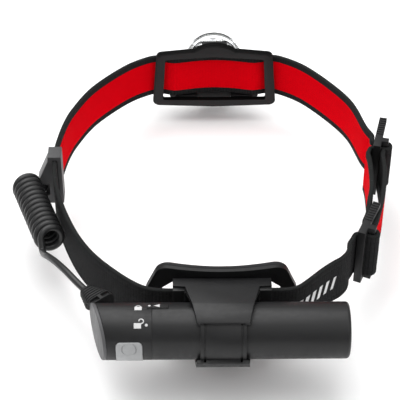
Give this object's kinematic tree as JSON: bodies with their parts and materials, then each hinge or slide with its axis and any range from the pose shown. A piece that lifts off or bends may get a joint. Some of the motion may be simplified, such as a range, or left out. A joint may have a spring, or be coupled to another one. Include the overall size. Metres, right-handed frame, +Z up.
{
  "type": "headlamp",
  "caption": "Headlamp on an elastic webbing headband, with a tilting focusable lamp head in front, a twist-lock battery barrel at the back and a curly lead along one side.",
  "frame": {"origin": "centre of the head opening, halfway up the webbing", "axes": "+Y forward along the beam, +X to the wearer's right, +Z up along the wearer's head"},
  "size_m": [0.1882, 0.2326, 0.0457],
  "materials": {
    "black_webbing": "woven polyester, matt",
    "red_webbing": "woven polyester, matt",
    "dark_shell": "moulded, fine satin texture",
    "grey_shell": "moulded, satin",
    "light_shell": "moulded, satin",
    "grip_plastic": "moulded, matt",
    "soft_rubber": "matt",
    "seal_rubber": "matt",
    "lead_sheath": "semi-gloss sheath",
    "foam": "closed-cell foam",
    "red_lining": "brushed fabric",
    "screw_steel": "zinc plated",
    "clear_lens": "clear polycarbonate",
    "led_board_white": "white solder mask on aluminium",
    "phosphor": "silicone over phosphor",
    "board_green": "solder mask",
    "contact_brass": "bright",
    "cell_wrap": "shrink sleeve",
    "white_mark": "pad print"
  },
  "bodies": {
    "headband": {"strap_rear_run": "black_webbing", "strap_front_run": "red_webbing", "front_frame": "dark_shell", "lamp_bracket": "dark_shell", "bracket_screws": "screw_steel", "tilt_pin": "screw_steel", "tilt_washers": "screw_steel", "rear_pad_carrier": "dark_shell", "rear_pad_cushion": "foam", "rear_pad_lining": "red_lining", "cradle": "grey_shell", "cradle_screws": "screw_steel", "battery_cap": "dark_shell", "cap_end_cover": "light_shell", "front_contact": "contact_brass", "driver_board": "board_green", "button_switch": "grip_plastic", "cap_marks": "white_mark", "strain_relief": "soft_rubber", "lead_rear": "lead_sheath", "lead_coil": "lead_sheath", "lead_front": "lead_sheath", "cable_clip": "dark_shell", "length_slider": "dark_shell", "ladder_buckle": "dark_shell"},
    "lamp_head": {"lamp_housing": "dark_shell", "lamp_rear_cover": "dark_shell", "lamp_cover_screws": "screw_steel", "led_board": "led_board_white", "led_emitter": "phosphor", "lamp_gland": "dark_shell", "focus_seal": "soft_rubber"},
    "focus_collar": {"focus_ring": "grip_plastic"},
    "lens": {"front_lens": "clear_lens"},
    "barrel": {"battery_barrel": "grey_shell", "barrel_mark": "white_mark", "barrel_seal": "seal_rubber", "contact_spring": "contact_brass", "battery_cell": "cell_wrap"},
    "button": {"power_button": "soft_rubber"}
  },
  "joints": [
    {"name": "lamp_tilt", "type": "hinge", "parent": "headband", "child": "lamp_head", "pos_m": [0, 0.093, -0.0206], "axis": [-1, 0, 0], "range_deg": [0, 60]},
    {"name": "focus_turn", "type": "hinge", "parent": "lamp_head", "child": "focus_collar", "pos_m": [0, 0.0926, -0.0009], "axis": [0, 1, 0], "range_deg": [0, 90]},
    {"name": "lens_slide", "type": "slide", "parent": "lamp_head", "child": "lens", "axis": [0, 1, 0], "range_m": [0, 0.0015]},
    {"name": "twist_lock", "type": "hinge", "parent": "headband", "child": "barrel", "pos_m": [0, -0.1121, 0.0051], "axis": [1, 0, 0], "range_deg": [0, 46]},
    {"name": "power_press", "type": "slide", "parent": "headband", "child": "button", "axis": [0, 0.9613, 0.2756], "range_m": [0, 0.0007], "stiffness_N_per_m": 1500}
  ],
  "couplings": [
    {"joint": "focus_turn", "follows": "lens_slide", "rad_per_m": 1047.2}
  ]
}
